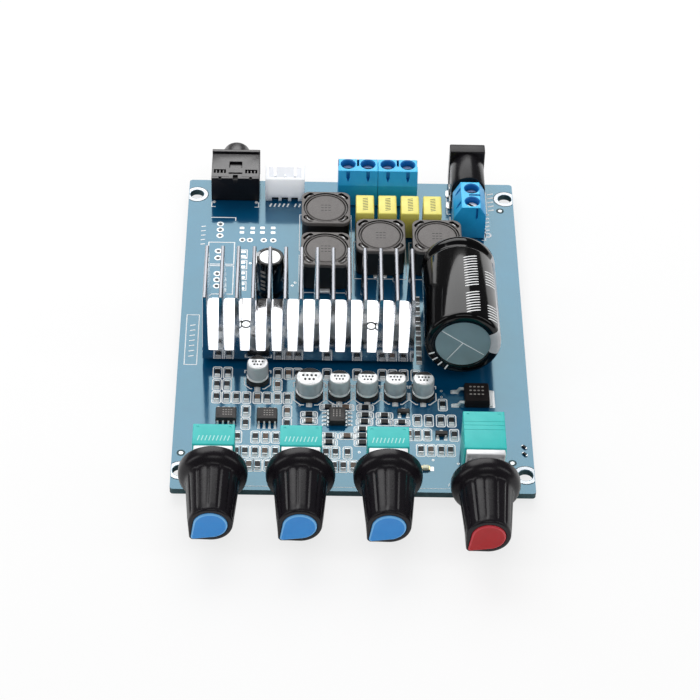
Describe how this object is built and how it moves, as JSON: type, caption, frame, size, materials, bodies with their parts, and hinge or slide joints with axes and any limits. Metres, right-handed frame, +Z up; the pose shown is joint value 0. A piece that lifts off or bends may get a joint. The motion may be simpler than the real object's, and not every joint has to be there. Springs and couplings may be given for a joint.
{
  "type": "audio amplifier board",
  "caption": "Blue stereo power amplifier circuit board with rotary tone and volume knobs, finned heatsink, lying capacitor, inductors, screw terminals and sockets.",
  "frame": {"origin": "bottom centre of the box around the whole part, under the lowest solder joints", "axes": "+X along the row of knobs to the right, +Y from the knobs to the sockets, +Z up from the board"},
  "size_m": [0.0834, 0.1368, 0.0245],
  "materials": {
    "board_blue": "glossy blue solder mask on glass-fibre laminate",
    "bare_aluminium": "bare, extruded and turned",
    "steel": "plated sheet",
    "ferrite_grey": "ferrite, matt grey",
    "film_yellow": "moulded yellow box",
    "sleeve_black": "black shrink sleeve",
    "can_silver": "bright can",
    "jack_black": "moulded black",
    "header_white": "moulded white",
    "terminal_blue": "moulded blue",
    "screw_plated": "nickel plated",
    "chip_black": "moulded black epoxy",
    "housing_teal": "moulded teal",
    "knob_black": "satin black",
    "cap_blue": "satin blue",
    "cap_red": "satin red"
  },
  "bodies": {
    "board": {"circuit_board": "board_blue", "heatsink": "bare_aluminium", "heatsink_screw_left": "screw_plated", "heatsink_screw_right": "screw_plated", "amplifier_chip_left": "chip_black", "amplifier_chip_right": "chip_black", "preamp_chip_left": "chip_black", "preamp_chip_middle": "chip_black", "preamp_chip_right": "chip_black", "voltage_regulator": "chip_black", "chip_capacitor_1": "can_silver", "chip_capacitor_2": "can_silver", "chip_capacitor_3": "can_silver", "chip_capacitor_4": "can_silver", "chip_capacitor_5": "can_silver", "chip_capacitor_6": "can_silver", "main_capacitor": "sleeve_black", "small_capacitor": "sleeve_black", "inductor_1": "ferrite_grey", "inductor_2": "ferrite_grey", "inductor_3": "ferrite_grey", "inductor_4": "ferrite_grey", "film_capacitor_1": "film_yellow", "film_capacitor_2": "film_yellow", "film_capacitor_3": "film_yellow", "film_capacitor_4": "film_yellow", "audio_jack": "jack_black", "audio_header": "header_white", "speaker_terminal_left": "terminal_blue", "speaker_terminal_right": "terminal_blue", "power_terminal": "terminal_blue", "dc_jack": "jack_black", "dc_jack_pin": "steel", "control_housing_1": "housing_teal", "control_housing_2": "housing_teal", "control_housing_3": "housing_teal", "control_housing_4": "housing_teal", "control_plate_1": "steel", "control_plate_2": "steel", "control_plate_3": "steel", "control_plate_4": "steel"},
    "knob_1": {"knob_1": "knob_black", "knob_cap_1": "cap_blue", "control_shaft_1": "bare_aluminium"},
    "knob_2": {"knob_2": "knob_black", "knob_cap_2": "cap_blue", "control_shaft_2": "bare_aluminium"},
    "knob_3": {"knob_3": "knob_black", "knob_cap_3": "cap_blue", "control_shaft_3": "bare_aluminium"},
    "knob_4": {"knob_4": "knob_black", "knob_cap_4": "cap_red", "control_shaft_4": "bare_aluminium"},
    "speaker_screw_1": {"speaker_screw_1": "screw_plated"},
    "speaker_screw_2": {"speaker_screw_2": "screw_plated"},
    "speaker_screw_3": {"speaker_screw_3": "screw_plated"},
    "speaker_screw_4": {"speaker_screw_4": "screw_plated"},
    "power_screw_back": {"power_screw_back": "screw_plated"},
    "power_screw_front": {"power_screw_front": "screw_plated"}
  },
  "joints": [
    {"name": "knob_1_turn", "type": "hinge", "parent": "board", "child": "knob_1", "pos_m": [-0.03173, -0.04788, 0.0102], "axis": [0, 1, 0], "range_deg": [0, 300]},
    {"name": "knob_2_turn", "type": "hinge", "parent": "board", "child": "knob_2", "pos_m": [-0.01204, -0.04788, 0.0102], "axis": [0, 1, 0], "range_deg": [0, 300]},
    {"name": "knob_3_turn", "type": "hinge", "parent": "board", "child": "knob_3", "pos_m": [0.00766, -0.04788, 0.0102], "axis": [0, 1, 0], "range_deg": [0, 300]},
    {"name": "knob_4_turn", "type": "hinge", "parent": "board", "child": "knob_4", "pos_m": [0.02957, -0.04788, 0.0102], "axis": [0, 1, 0], "range_deg": [0, 300]},
    {"name": "speaker_screw_1_turn", "type": "hinge", "parent": "board", "child": "speaker_screw_1", "pos_m": [-0.00099, 0.05648, 0.008], "axis": [0, 0, -1], "range_deg": [0, 1800]},
    {"name": "speaker_screw_2_turn", "type": "hinge", "parent": "board", "child": "speaker_screw_2", "pos_m": [0.00409, 0.05648, 0.008], "axis": [0, 0, -1], "range_deg": [0, 1800]},
    {"name": "speaker_screw_3_turn", "type": "hinge", "parent": "board", "child": "speaker_screw_3", "pos_m": [0.00916, 0.05648, 0.008], "axis": [0, 0, -1], "range_deg": [0, 1800]},
    {"name": "speaker_screw_4_turn", "type": "hinge", "parent": "board", "child": "speaker_screw_4", "pos_m": [0.01424, 0.05648, 0.008], "axis": [0, 0, -1], "range_deg": [0, 1800]},
    {"name": "power_screw_back_turn", "type": "hinge", "parent": "board", "child": "power_screw_back", "pos_m": [0.03018, 0.04754, 0.008], "axis": [0, 0, -1], "range_deg": [0, 1800]},
    {"name": "power_screw_front_turn", "type": "hinge", "parent": "board", "child": "power_screw_front", "pos_m": [0.03018, 0.04246, 0.008], "axis": [0, 0, -1], "range_deg": [0, 1800]}
  ]
}
